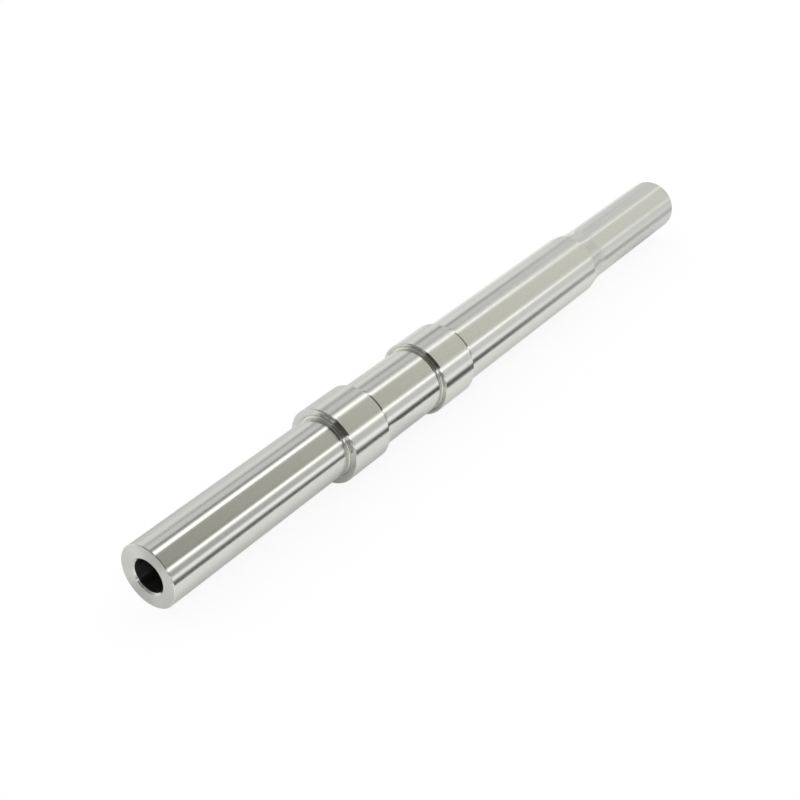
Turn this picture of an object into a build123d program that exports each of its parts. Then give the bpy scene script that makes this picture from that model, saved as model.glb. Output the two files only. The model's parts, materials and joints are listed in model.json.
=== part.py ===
from build123d import *
import os
from math import radians, tan

# Hammer piston of a rock drill: one hollow steel bar, turned, bored through and ground.
# Its axis is X and the rear end is towards +X. The origin is on the axis, halfway along the bar.
# All sizes are in millimetres.

# Diameters, from front to rear
shank_diameter = 38.0
land_diameter = 48.0
waist_diameter = 42.0
barrel_diameter = 42.5
tail_diameter = 36.5

# Lengths along the axis, from front to rear. The tail takes what they leave of the whole.
overall_length = 530.0
shank_length = 140.0
front_land_length = 31.0
waist_length = 56.5
rear_land_length = 29.5
barrel_length = 151.5

# Taper between barrel and tail: a straight slope with a rounded shoulder and a long blend
taper_angle = 11.0
taper_shoulder_radius = 8.0
taper_blend_radius = 45.0

# Bore from end to end, with a countersunk mouth at each end
bore_diameter = 20.0
bore_mouth_chamfer = 1.0

# Edges
front_edge_chamfer = 0.5
land_edge_chamfer = 0.5
tail_edge_radius = 4.5

# Grinding relief at the root of each land, cut into the shaft and into the land's side alike
relief_length = 3.0
relief_depth = 0.6
relief_side_depth = 0.6
relief_side_height = 1.5
relief_run_out_angle = 25.0
relief_root_radius = 0.9


def corner(sketch, x, radius):
    """The vertex of a flat outline that lies at this place along the axis and this radius."""
    return sketch.vertices().sort_by_distance((x, radius, 0))[0]


def relief(side_x, shaft_radius, towards):
    """Section of the groove at a land's root. towards is -1 or 1: the way the land's side faces."""
    run_out = relief_depth / tan(radians(relief_run_out_angle))
    floor_radius = shaft_radius - relief_depth
    root_x = side_x - towards * relief_side_depth
    section = make_face(
        Polyline(
            (side_x + towards * relief_length, shaft_radius),
            (side_x + towards * (relief_length - run_out), floor_radius),
            (root_x, floor_radius),
            (side_x, shaft_radius + relief_side_height),
            close=True,
        )
    )
    return fillet(corner(section, root_x, floor_radius), relief_root_radius)


def piston():
    """The whole bar: half of its lengthwise section, turned about the axis."""
    shank_radius = shank_diameter / 2
    land_radius = land_diameter / 2
    waist_radius = waist_diameter / 2
    barrel_radius = barrel_diameter / 2
    tail_radius = tail_diameter / 2
    bore_radius = bore_diameter / 2

    front_end = -overall_length / 2
    rear_end = overall_length / 2
    front_land_start = front_end + shank_length
    front_land_end = front_land_start + front_land_length
    rear_land_start = front_land_end + waist_length
    rear_land_end = rear_land_start + rear_land_length
    taper_start = rear_land_end + barrel_length
    taper_end = taper_start + (barrel_radius - tail_radius) / tan(radians(taper_angle))

    section = make_face(
        Polyline(
            (front_end, bore_radius),
            (front_end, shank_radius),
            (front_land_start, shank_radius),
            (front_land_start, land_radius),
            (front_land_end, land_radius),
            (front_land_end, waist_radius),
            (rear_land_start, waist_radius),
            (rear_land_start, land_radius),
            (rear_land_end, land_radius),
            (rear_land_end, barrel_radius),
            (taper_start, barrel_radius),
            (taper_end, tail_radius),
            (rear_end, tail_radius),
            (rear_end, bore_radius),
            close=True,
        )
    )

    section = chamfer(corner(section, front_end, shank_radius), front_edge_chamfer)
    for end in (front_end, rear_end):
        section = chamfer(corner(section, end, bore_radius), bore_mouth_chamfer)
    for edge in (front_land_start, front_land_end, rear_land_start, rear_land_end):
        section = chamfer(corner(section, edge, land_radius), land_edge_chamfer)
    section = fillet(corner(section, taper_start, barrel_radius), taper_shoulder_radius)
    section = fillet(corner(section, taper_end, tail_radius), taper_blend_radius)
    section = fillet(corner(section, rear_end, tail_radius), tail_edge_radius)

    section -= relief(front_land_start, shank_radius, -1)
    section -= relief(front_land_end, waist_radius, 1)
    section -= relief(rear_land_start, waist_radius, -1)
    section -= relief(rear_land_end, barrel_radius, 1)
    return revolve(section, Axis.X, 360)


os.makedirs("parts", exist_ok=True)
export_step(piston(), "parts/piston.step")
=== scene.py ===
import json
import math

import bpy
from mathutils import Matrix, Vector


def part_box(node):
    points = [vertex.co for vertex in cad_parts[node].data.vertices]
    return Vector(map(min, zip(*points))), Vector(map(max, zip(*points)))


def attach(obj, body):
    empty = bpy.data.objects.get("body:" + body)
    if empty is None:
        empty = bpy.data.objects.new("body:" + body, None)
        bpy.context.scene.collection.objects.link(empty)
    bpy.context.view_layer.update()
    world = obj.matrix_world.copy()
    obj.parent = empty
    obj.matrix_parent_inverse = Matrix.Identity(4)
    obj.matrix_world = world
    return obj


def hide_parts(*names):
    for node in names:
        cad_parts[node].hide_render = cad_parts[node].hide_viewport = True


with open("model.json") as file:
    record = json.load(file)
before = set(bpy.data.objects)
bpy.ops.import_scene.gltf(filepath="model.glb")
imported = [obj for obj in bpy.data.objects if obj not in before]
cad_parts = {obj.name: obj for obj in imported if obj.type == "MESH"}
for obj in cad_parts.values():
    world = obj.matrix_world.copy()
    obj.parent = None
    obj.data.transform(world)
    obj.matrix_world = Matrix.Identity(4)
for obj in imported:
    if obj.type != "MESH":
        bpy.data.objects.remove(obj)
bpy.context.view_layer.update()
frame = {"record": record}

MM = 0.001
WHITE = (1.0, 1.0, 1.0, 1.0)


# Node trees


class Nodes:
    """Short calls for building a node tree."""

    def __init__(self, tree):
        self.tree = tree
        tree.nodes.clear()

    def add(self, kind, **settings):
        node = self.tree.nodes.new(kind)
        for name, value in settings.items():
            setattr(node, name, value)
        return node

    def plug(self, socket, value):
        """Links a socket to an output, or sets it to a number or colour."""
        if isinstance(value, bpy.types.NodeSocket):
            self.tree.links.new(value, socket)
        else:
            socket.default_value = value

    def math(self, operation, *values):
        node = self.add("ShaderNodeMath", operation=operation)
        for socket, value in zip(node.inputs, values):
            self.plug(socket, value)
        return node.outputs[0]

    def ramp(self, value, start, end, low=0.0, high=1.0, smooth=True):
        """low before start, high after end, and smooth or straight in between."""
        kind = "SMOOTHSTEP" if smooth else "LINEAR"
        node = self.add("ShaderNodeMapRange", interpolation_type=kind)
        self.plug(node.inputs["Value"], value)
        self.plug(node.inputs["From Min"], start)
        self.plug(node.inputs["From Max"], end)
        self.plug(node.inputs["To Min"], low)
        self.plug(node.inputs["To Max"], high)
        return node.outputs[0]

    def mix(self, share, a, b, kind="FLOAT"):
        """a where share is 0, b where it is 1. kind is FLOAT for numbers and RGBA for colours."""
        node = self.add("ShaderNodeMix", data_type=kind)
        first = {"FLOAT": 2, "RGBA": 6}[kind]
        self.plug(node.inputs[0], share)
        self.plug(node.inputs[first], a)
        self.plug(node.inputs[first + 1], b)
        return node.outputs[{"FLOAT": 0, "RGBA": 2}[kind]]

    def noise(self, place, scale, detail, roughness=0.5):
        node = self.add("ShaderNodeTexNoise")
        self.plug(node.inputs["Vector"], place)
        self.plug(node.inputs["Scale"], scale)
        self.plug(node.inputs["Detail"], detail)
        self.plug(node.inputs["Roughness"], roughness)
        return node.outputs["Fac"]

    def sum_of(self, first, second):
        """Both shaders added up."""
        node = self.add("ShaderNodeAddShader")
        self.plug(node.inputs[0], first)
        self.plug(node.inputs[1], second)
        return node.outputs[0]

    def matt(self, colour):
        node = self.add("ShaderNodeBsdfDiffuse")
        self.plug(node.inputs["Color"], colour)
        return node.outputs[0]

    def glow(self, colour, strength):
        node = self.add("ShaderNodeEmission")
        self.plug(node.inputs["Color"], colour)
        self.plug(node.inputs["Strength"], strength)
        return node.outputs[0]


# Sizes of the bar


def mount(name):
    """(middle along X, radius, length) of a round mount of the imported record, in metres."""
    found = next(m for m in frame["record"]["mounts"] if m["name"] == name)
    return found["pos_m"][0], found["dims"]["r_mm"] * MM, found["dims"]["length_mm"] * MM


low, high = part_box("piston")
front_end, rear_end = low.x, high.x
front_land_x, land_radius, front_land_flat = mount("front_land")
rear_land_x, _, rear_land_flat = mount("rear_land")
shank_radius = mount("shank_journal")[1]
barrel_radius = mount("barrel_journal")[1]
tail_radius = mount("tail_journal")[1]
bore_radius = mount("bore")[1]

land_chamfer = 0.5 * MM
front_land_start = front_land_x - front_land_flat / 2 - land_chamfer
front_land_end = front_land_x + front_land_flat / 2 + land_chamfer
rear_land_start = rear_land_x - rear_land_flat / 2 - land_chamfer
rear_land_end = rear_land_x + rear_land_flat / 2 + land_chamfer
waist_radius = 21.0 * MM
barrel_length = 151.5 * MM
taper_angle = math.radians(11.0)
taper_start = rear_land_end + barrel_length
taper_end = taper_start + (barrel_radius - tail_radius) / math.tan(taper_angle)
taper_shoulder_radius = 8.0 * MM
taper_blend_radius = 45.0 * MM
tail_edge_radius = 4.5 * MM
front_chamfer = 0.5 * MM
mouth_chamfer = 1.0 * MM

relief_length = 3.0 * MM
relief_depth = 0.6 * MM
relief_side_depth = 0.6 * MM
relief_side_height = 1.5 * MM
relief_root_radius = 0.9 * MM
relief_run_out = relief_depth / math.tan(math.radians(25.0))
relief_floor_round = 0.3 * MM
rear_run_out_round = 3.0 * MM
broken_edge = 0.12 * MM

# Surfaces, in the order of the bar's materials
GROUND, FACED, TURNED, BORED = range(4)


# Outline of the bar: its corners, each as (x, radius, edge rounding, surface that follows it)


def relief(side, radius, towards):
    """Groove at a land's root, from the shaft to the land's side, which faces towards (-1 or 1)."""
    run_out_round = rear_run_out_round if towards > 0 else broken_edge
    floor_radius = radius - relief_depth
    floor_start = side + towards * (relief_length - relief_run_out)
    return [
        (side + towards * relief_length, radius, run_out_round, TURNED),
        (floor_start, floor_radius, relief_floor_round, TURNED),
        (side - towards * relief_side_depth, floor_radius, relief_root_radius, TURNED),
        (side, radius + relief_side_height, broken_edge, TURNED),
    ]


def relief_back(side, radius):
    """The same groove on a land's rear side, from the land's side back to the shaft."""
    run_out, floor, root, top = relief(side, radius, 1)
    return [top, root, floor, (*run_out[:3], GROUND)]


def land(start, end, before, after):
    """One land and the reliefs beside it. before and after are the radii of the shaft there."""
    return [
        *relief(start, before, -1),
        (start, land_radius - land_chamfer, broken_edge, TURNED),
        (start + land_chamfer, land_radius, broken_edge, GROUND),
        (end - land_chamfer, land_radius, broken_edge, TURNED),
        (end, land_radius - land_chamfer, broken_edge, TURNED),
        *relief_back(end, after),
    ]


OUTLINE = [
    (front_end, bore_radius + mouth_chamfer, broken_edge, FACED),
    (front_end, shank_radius - front_chamfer, broken_edge, TURNED),
    (front_end + front_chamfer, shank_radius, broken_edge, GROUND),
    *land(front_land_start, front_land_end, shank_radius, waist_radius),
    *land(rear_land_start, rear_land_end, waist_radius, barrel_radius),
    (taper_start, barrel_radius, taper_shoulder_radius, GROUND),
    (taper_end, tail_radius, taper_blend_radius, GROUND),
    (rear_end, tail_radius, tail_edge_radius, FACED),
    (rear_end, bore_radius + mouth_chamfer, broken_edge, TURNED),
    (rear_end - mouth_chamfer, bore_radius, broken_edge, BORED),
    (front_end + mouth_chamfer, bore_radius, broken_edge, TURNED),
]


# Mesh of the bar

ARC_STEP = math.radians(6.0)
SEGMENTS = 288
LARGE_ROUND = 1.0 * MM


def arc(before, corner, after, radius):
    """Points and outward normals along the arc that rounds one corner of the outline."""
    back = (before - corner).normalized()
    on = (after - corner).normalized()
    half = math.acos(max(-1.0, min(1.0, back.dot(on)))) / 2
    reach = radius / math.tan(half)
    centre = corner + (back + on).normalized() * (radius / math.sin(half))
    first = (corner + back * reach - centre).normalized()
    last = (corner + on * reach - centre).normalized()
    outward = 1 if first.dot(Vector((back.y, -back.x))) > 0 else -1
    turned = math.pi - 2 * half
    steps = max(2, math.ceil(turned / ARC_STEP))
    made = []
    for k in range(steps + 1):
        t = k / steps
        way = (first * math.sin((1 - t) * turned) + last * math.sin(t * turned)) / math.sin(turned)
        made.append((centre + way * radius, way * outward))
    return made


def rounded(corners):
    """Strips of the outline with its corners rounded: (start, normal, end, normal, surface)."""
    count = len(corners)
    points = [Vector((x, r)) for x, r, _, _ in corners]
    arcs = [
        arc(points[i - 1], points[i], points[(i + 1) % count], corners[i][2]) for i in range(count)
    ]
    strips = []
    for i, (_, _, radius, surface) in enumerate(corners):
        surface_before = corners[i - 1][3]
        on_arc = surface_before if surface == GROUND or radius > LARGE_ROUND else surface
        for (p, n), (q, m) in zip(arcs[i], arcs[i][1:]):
            strips.append((p, n, q, m, on_arc))
        strips.append((*arcs[i][-1], *arcs[(i + 1) % count][0], surface))
    return strips


def turn(name, corners):
    """Mesh made by turning the rounded outline about X, with its exact normals."""
    strips = rounded(corners)
    rings = len(strips)
    angles = [2 * math.pi * j / SEGMENTS for j in range(SEGMENTS)]
    rays = [(math.sin(angle), math.cos(angle)) for angle in angles]
    points, faces, surfaces, normals = [], [], [], []
    for p, _, _, _, _ in strips:
        points.extend((p.x, p.y * s, p.y * c) for s, c in rays)
    for i, (_, n, _, m, surface) in enumerate(strips):
        here, there = i * SEGMENTS, (i + 1) % rings * SEGMENTS
        for j in range(SEGMENTS):
            k = (j + 1) % SEGMENTS
            faces.append((here + j, there + j, there + k, here + k))
            surfaces.append(surface)
            for normal, ray in ((n, rays[j]), (m, rays[j]), (m, rays[k]), (n, rays[k])):
                normals.append((normal.x, normal.y * ray[0], normal.y * ray[1]))
    mesh = bpy.data.meshes.new(name)
    mesh.from_pydata(points, [], faces)
    mesh.polygons.foreach_set("use_smooth", [True] * len(faces))
    mesh.polygons.foreach_set("material_index", surfaces)
    mesh.normals_split_custom_set(normals)
    mesh.validate()
    made = bpy.data.objects.new(name, mesh)
    bpy.context.scene.collection.objects.link(made)
    return made


# Steel

STEEL = (0.735, 0.735, 0.694)
# The bore's steel is far darker than bare steel: painted shade for the dark inside of the bore.
BORE_STEEL_WITH_PAINTED_SHADE = (0.12, 0.12, 0.115)
MARK_SHADE = 0.5
ROUGHNESS_SWING = 0.12
CLOUDS_PER_METRE = 55.0
GRAINS_PER_METRE = 800.0
RING_WANDER = 14.0
NOISE_LOW, NOISE_HIGH = 0.3, 0.7
GRAIN_LOW, GRAIN_HIGH, GRAIN_DARKEST = 0.38, 0.62, 0.94
QUARTER_TURN = 0.25


def steel(name, colour, roughness, streaking, rings_per_mm, ring_depth, mottle):
    """Bare steel cut or ground round the axis: fine rings, and highlights drawn out across them."""
    material = bpy.data.materials.new(name)
    material.use_nodes = True
    n = Nodes(material.node_tree)
    shader = n.add("ShaderNodeBsdfPrincipled")
    output = n.add("ShaderNodeOutputMaterial")
    n.plug(output.inputs["Surface"], shader.outputs[0])

    # Rings follow the distance along the axis on round surfaces and the radius on flat ones
    place = n.add("ShaderNodeTexCoord").outputs["Object"]
    parts = n.add("ShaderNodeSeparateXYZ")
    n.plug(parts.inputs[0], place)
    x, y, z = parts.outputs
    radius = n.math("SQRT", n.math("ADD", n.math("MULTIPLY", y, y), n.math("MULTIPLY", z, z)))
    across = n.math("ADD", x, radius)
    lay = n.add("ShaderNodeCombineXYZ")
    n.plug(lay.inputs[0], n.math("MULTIPLY", across, rings_per_mm / MM))
    n.plug(lay.inputs[1], n.math("MULTIPLY", y, RING_WANDER))
    n.plug(lay.inputs[2], n.math("MULTIPLY", z, RING_WANDER))
    rings = n.noise(lay.outputs[0], scale=1.0, detail=4.0, roughness=0.6)

    # Slow clouding, as left by oil and handling, and the metal's own fine grain
    clouds = n.noise(place, CLOUDS_PER_METRE, detail=3.0)
    grain = n.noise(place, GRAINS_PER_METRE, detail=2.0)

    shade = n.ramp(clouds, NOISE_LOW, NOISE_HIGH, 1.0 - mottle, 1.0)
    line = n.ramp(rings, NOISE_LOW, NOISE_HIGH, 1.0 - mottle, 1.0)
    speck = n.ramp(grain, GRAIN_LOW, GRAIN_HIGH, GRAIN_DARKEST, 1.0)
    tone = n.math("MULTIPLY", n.math("MULTIPLY", shade, line), speck)
    dark = tuple(channel * MARK_SHADE for channel in colour)
    n.plug(shader.inputs["Base Color"], n.mix(tone, (*dark, 1.0), (*colour, 1.0), "RGBA"))
    smoothest = roughness * (1.0 - ROUGHNESS_SWING)
    roughest = roughness * (1.0 + ROUGHNESS_SWING)
    n.plug(shader.inputs["Roughness"], n.ramp(rings, NOISE_LOW, NOISE_HIGH, smoothest, roughest))
    n.plug(shader.inputs["Metallic"], 1.0)
    n.plug(shader.inputs["Anisotropic"], streaking)
    n.plug(shader.inputs["Anisotropic Rotation"], QUARTER_TURN)
    tangent = n.add("ShaderNodeTangent", direction_type="RADIAL", axis="X")
    n.plug(shader.inputs["Tangent"], tangent.outputs[0])
    bump = n.add("ShaderNodeBump")
    n.plug(bump.inputs["Strength"], 1.0)
    n.plug(bump.inputs["Distance"], ring_depth * MM)
    n.plug(bump.inputs["Height"], rings)
    n.plug(shader.inputs["Normal"], bump.outputs[0])
    return material


bar = turn("piston_bar", OUTLINE)
for material in (
    steel("ground_steel", STEEL, 0.17, 0.7, rings_per_mm=1.2, ring_depth=0.0008, mottle=0.03),
    steel("faced_steel", STEEL, 0.4, 0.95, rings_per_mm=2.0, ring_depth=0.003, mottle=0.05),
    steel("turned_steel", STEEL, 0.12, 0.9, rings_per_mm=2.5, ring_depth=0.0015, mottle=0.05),
    # The bore's dark colour is painted shade.
    steel("bored_steel_with_painted_shade", BORE_STEEL_WITH_PAINTED_SHADE, 0.35, 0.95, rings_per_mm=1.5, ring_depth=0.005, mottle=0.15),
):
    bar.data.materials.append(material)
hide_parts("piston")
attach(bar, "root")


# Floor

FLOOR_HALF = 8.0
SHADOW_DEPTH = 0.12
OPEN_FLOOR_SURPLUS = 1.05
SHEET_BACK_EDGE = 0.1


def flat(name, x0, x1, y0, y1, surface):
    """Level ground under the bar, not part of the object. surface builds its shader."""
    mesh = bpy.data.meshes.new(name)
    mesh.from_pydata([(x0, y0, 0), (x1, y0, 0), (x1, y1, 0), (x0, y1, 0)], [], [(0, 1, 2, 3)])
    made = bpy.data.objects.new(name, mesh)
    made.location.z = low.z
    bpy.context.scene.collection.objects.link(made)
    material = bpy.data.materials.new(name)
    material.use_nodes = True
    n = Nodes(material.node_tree)
    n.plug(n.add("ShaderNodeOutputMaterial").inputs["Surface"], surface(n))
    mesh.materials.append(material)
    made.visible_shadow = False
    return made


def white_with_shadow(n):
    """White, with a faint shadow where the bar keeps the light off."""
    lit = n.glow(WHITE, 1.0 - SHADOW_DEPTH)
    grey = SHADOW_DEPTH * OPEN_FLOOR_SURPLUS
    return n.sum_of(lit, n.matt((grey, grey, grey, 1.0)))


def pale(foot, glow):
    """Matt white with a faint glow, and painted shade: greyer under the bar (foot) and towards the tail."""

    def surface(n):
        place = n.add("ShaderNodeSeparateXYZ")
        n.plug(place.inputs[0], n.add("ShaderNodeTexCoord").outputs["Object"])
        x, y, _ = place.outputs
        # Painted shade: the sheet turns greyer close under the bar and towards the tail
        painted_shade_under_bar = n.ramp(y, -38.0 * MM, -18.0 * MM, 1.0, foot)
        grey = n.math("MULTIPLY", painted_shade_under_bar, n.ramp(x, 160.0 * MM, 300.0 * MM, 1.0, 0.82))
        tone = n.add("ShaderNodeCombineColor")
        for socket in tone.inputs[:3]:
            n.plug(socket, grey)
        return n.sum_of(n.matt(tone.outputs[0]), n.glow(tone.outputs[0], glow))

    return surface


floor = flat("floor", -FLOOR_HALF, FLOOR_HALF, -FLOOR_HALF, FLOOR_HALF, white_with_shadow)
floor.visible_glossy = floor.visible_diffuse = floor.visible_transmission = False

# White sheets that the bar lies on and mirrors. Each ends a little way in front of the bar, the
# ones farther back nearer to it.
# The sheets' grey under the bar and towards the tail is painted shade.
for name, x0, x1, front_edge, surface in (
    ("front_sheet", -0.5, -0.04, -0.071, pale(0.88, 0.01)),
    ("middle_sheet", -0.04, 0.2, -0.0565, pale(0.95, 0.06)),
    ("rear_sheet", 0.2, 0.6, -0.040, pale(0.95, 0.0)),
):
    sheet = flat(name, x0, x1, front_edge, SHEET_BACK_EDGE, surface)
    sheet.visible_camera = sheet.visible_diffuse = False


# Studio
# What the steel mirrors is laid out by two angles, in degrees. The azimuth goes round the bar's
# axis, from 0 at the top through 90 at +Y. The polar angle is measured from the rear (+X).
# A card is a light or dark stripe that lies along the whole bar. Its values belong to these polar
# angles: what the end faces mirror, two places abreast of the front end, and what the shank's
# end, the shank's root, the front land's two edges, the waist, the barrel's start, the barrel's
# end, the tail and the taper mirror.
PLACES = (128.0, 92.0, 84.0, 59.0, 51.5, 50.6, 49.5, 48.8, 43.5, 40.5, 36.5, 18.0)
DIM_END = (138.0, 152.0)
DIM_END_SHARE = 0.8
DIM_END_LEVEL = 0.38
DARK_SIDE_TINT = (1.0, 1.0, 0.91, 1.0)

world = bpy.data.worlds.new("studio")
bpy.context.scene.world = world
world.use_nodes = True
n = Nodes(world.node_tree)
direction = n.add("ShaderNodeSeparateXYZ")
n.plug(direction.inputs[0], n.add("ShaderNodeTexCoord").outputs["Generated"])
dx, dy, dz = direction.outputs
azimuth = n.math("DEGREES", n.math("ARCTAN2", dy, dz))
cosine = n.math("MAXIMUM", n.math("MINIMUM", dx, 1.0), -1.0)
polar = n.math("DEGREES", n.math("ARCCOSINE", cosine))
passed = [n.ramp(polar, a, b, smooth=False) for a, b in zip(PLACES, PLACES[1:])]


def fading(values):
    """A value that goes straight from place to place. A single number stays as it is."""
    if not isinstance(values, tuple):
        return values
    made = values[0]
    for share, here, there in zip(passed, values, values[1:]):
        if here != there:
            made = n.math("MULTIPLY_ADD", share, there - here, made)
    return made


def card(centre, width, softness):
    """Share of each direction that a card covers. Centre, width and softness are azimuths."""
    off = n.math("ABSOLUTE", n.math("WRAP", n.math("SUBTRACT", azimuth, fading(centre)), 180.0, -180.0))
    beyond = n.math("MULTIPLY_ADD", fading(width), -0.5, off)
    return n.ramp(beyond, -softness / 2, softness / 2, 1.0, 0.0)


def cover(behind, share, levels):
    """The room's level where a card of these levels stands in front of what is there."""
    return n.mix(share, behind, fading(levels))


# Walls, where nothing stands in front of them
level = fading((0.45, 0.90, 0.86, 0.84, 0.88, 0.89, 0.89, 0.89, 0.90, 0.88, 0.74, 0.74))

# Low part of the back wall
stripe = card(86.0, 20.0, 10.0)
level = cover(level, stripe, (0.90, 0.90, 0.80, 0.73, 0.74, 0.75, 0.75, 0.75, 0.79, 0.75, 0.68, 0.66))

# The wall's foot
stripe = card(112.0, 32.0, 12.0)
level = cover(level, stripe, (1.30, 0.90, 0.75, 0.56, 0.74, 0.66, 0.66, 0.86, 0.90, 0.94, 1.05, 0.70))

# Ceiling
stripe = card(29.0, 50.0, 8.0)
level = cover(level, stripe, (0.30, 0.24, 0.70, 0.74, 0.71, 0.71, 0.71, 0.72, 0.69, 0.69, 0.78, 0.66))

# The gap at the ceiling's edge
stripe = card(
    (45.5, 45.5, 45.5, 45.5, 47.0, 53.5, 53.5, 48.0, 46.0, 42.5, 43.5, 50.0),
    (9.0, 9.0, 9.0, 9.0, 9.0, 11.0, 11.0, 9.0, 9.0, 9.0, 9.0, 9.0),
    8.0,
)
level = cover(level, stripe, (0.30, 0.24, 0.60, 0.53, 0.47, 0.45, 0.45, 0.32, 0.17, 0.62, 0.76, 0.66))

# The gap behind the upper lamp
stripe = card((18.0, 18.0, 18.0, 18.5, 16.5, 19.5, 19.5, 15.5, 15.0, 15.0, 17.0, 34.0), 8.0, 6.0)
level = cover(level, stripe, (0.20, 0.20, 0.40, 0.17, 0.22, 0.50, 0.50, 0.46, 0.68, 0.71, 0.76, 0.66))

# Dark side of the room, where the camera is
dark_side = card(
    (331.0, 331.0, 331.0, 331.0, 329.0, 331.0, 331.0, 327.5, 326.0, 325.0, 325.0, 325.0), 62.0, 5.0
)
level = cover(level, dark_side, (0.004, 0.004, 0.06, 0.40, 0.49, 0.57, 0.57, 0.545, 0.77, 0.76, 0.81, 0.66))

# The dark side's lower rim
stripe = card(310.0, 6.0, 5.0)
level = cover(level, stripe, (0.004, 0.004, 0.06, 0.33, 0.42, 0.60, 0.60, 0.53, 0.73, 0.71, 0.81, 0.64))

# Table in front
stripe = card(
    (278.0, 278.0, 278.0, 278.0, 278.0, 280.0, 280.0, 277.0, 278.0, 278.0, 278.0, 258.0), 22.0, 6.0
)
level = cover(level, stripe, (0.36, 0.26, 0.40, 0.44, 0.52, 0.78, 0.78, 0.73, 0.80, 0.79, 0.80, 0.58))

# The table's lit edge
stripe = card(
    (265.0, 265.0, 265.0, 267.0, 264.5, 262.0, 262.0, 256.5, 259.5, 259.5, 265.0, 236.0), 10.0, 9.0
)
level = cover(level, stripe, (1.10, 0.36, 0.40, 1.16, 1.28, 1.24, 1.24, 1.24, 1.02, 0.93, 0.80, 0.72))

# The dark gap between the table and the sheets
stripe = card(
    (246.0, 246.0, 247.0, 248.0, 247.0, 245.0, 245.0, 239.5, 242.0, 241.5, 243.0, 214.0),
    (19.0, 19.0, 19.0, 19.0, 19.0, 15.0, 15.0, 17.5, 19.0, 19.0, 14.0, 19.0),
    8.0,
)
level = cover(level, stripe, (0.60, 0.50, 0.20, 0.13, 0.15, 0.10, 0.10, 0.01, 0.0, 0.44, 0.66, 0.30))

# Upper lamp
stripe = card(
    (9.0, 9.0, 6.0, 4.0, 4.1, 7.6, 7.6, 2.9, 1.7, -1.5, -4.3, 21.0),
    (12.0, 12.0, 12.0, 11.0, 9.7, 10.0, 10.0, 8.8, 8.5, 9.0, 9.5, 12.0),
    5.0,
)
level = cover(level, stripe, (0.40, 0.33, 0.60, 1.90, 1.80, 1.65, 1.65, 1.55, 1.55, 1.30, 0.93, 1.20))

# Lower lamp
stripe = card(
    (292.0, 292.0, 296.0, 297.8, 295.8, 298.2, 298.2, 292.9, 290.8, 290.5, 291.0, 278.0),
    (10.5, 10.5, 10.5, 8.8, 7.6, 9.0, 9.0, 8.2, 9.0, 9.6, 10.0, 11.0),
    5.0,
)
level = cover(level, stripe, (2.00, 0.80, 0.90, 1.70, 1.70, 1.60, 1.60, 1.65, 1.45, 1.20, 0.78, 0.96))

# Far beyond the front end the room is evenly dim
level = n.mix(n.ramp(polar, *DIM_END, 0.0, DIM_END_SHARE), level, DIM_END_LEVEL)

# Only what the steel mirrors is laid out in this way: the room looks and lights plain white
path = n.add("ShaderNodeLightPath")
mirrored = n.math("MAXIMUM", path.outputs["Is Glossy Ray"], path.outputs["Is Transmission Ray"])
tinting = fading((1.0, 1.0, 1.0, 1.0, 1.0, 1.0, 1.0, 1.0, 1.0, 1.0, 0.3, 0.3))
tinted_share = n.math("MULTIPLY", n.math("MULTIPLY", dark_side, mirrored), tinting)
room = n.add("ShaderNodeBackground")
n.plug(room.inputs["Color"], n.mix(tinted_share, WHITE, DARK_SIDE_TINT, "RGBA"))
n.plug(room.inputs["Strength"], n.mix(mirrored, 1.0, level))
n.plug(n.add("ShaderNodeOutputWorld").inputs["Surface"], room.outputs[0])


# Camera

camera_place = Vector((-0.6284, -0.4276, 0.4718))
camera_aim = Vector((0.6679, 0.4957, -0.5552))
camera = bpy.data.objects.new("camera", bpy.data.cameras.new("camera"))
bpy.context.scene.collection.objects.link(camera)
camera.location = camera_place
camera.rotation_euler = camera_aim.to_track_quat("-Z", "Y").to_euler()
camera.data.lens = 64.24
camera.data.sensor_width = 36.0
camera.data.clip_start = 0.01
bpy.context.scene.camera = camera
bpy.context.scene.view_settings.view_transform = "Standard"
